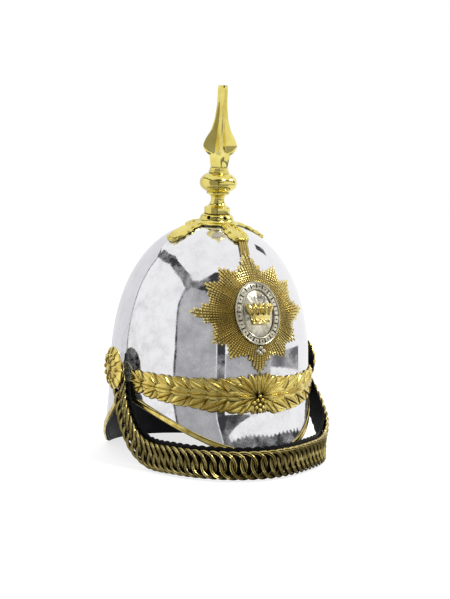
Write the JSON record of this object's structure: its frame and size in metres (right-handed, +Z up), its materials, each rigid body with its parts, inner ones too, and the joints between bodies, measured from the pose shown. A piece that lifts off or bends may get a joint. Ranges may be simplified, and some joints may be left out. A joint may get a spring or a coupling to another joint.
{
  "type": "dragoon helmet",
  "caption": "Tall domed metal helmet with front and rear peaks, spike, rayed star plate, laurel band, side rosettes and a curb chin chain laid in front.",
  "frame": {"origin": "on the surface that the helmet stands on, under the middle of the whole part", "axes": "+Z up; the helmet's front looks along -Y; +X is the wearer's left"},
  "size_m": [0.2278, 0.3404, 0.3716],
  "materials": {
    "silvered_steel": "polished, lightly tarnished",
    "gilt": "cast and gilt",
    "bright_gilt": "turned, polished and gilt",
    "old_gold": "antique gilt relief",
    "silver": "worn silver",
    "chain_brass": "worn brass wire",
    "black_leather": "matt black"
  },
  "bodies": {
    "root": {"skull": "silvered_steel", "front_binding": "gilt", "rear_binding": "gilt", "front_peak_lining": "black_leather", "rear_peak_lining": "black_leather", "laurel_wreath": "gilt", "star_plate": "old_gold", "oval_band": "silver", "badge_ground": "silver", "coronet": "old_gold", "crosspiece": "gilt", "link_strip": "old_gold", "knop": "bright_gilt", "spike": "bright_gilt", "rosette_right": "old_gold", "rosette_left": "old_gold", "chin_chain": "chain_brass", "chain_leather": "black_leather"}
  },
  "joints": []
}
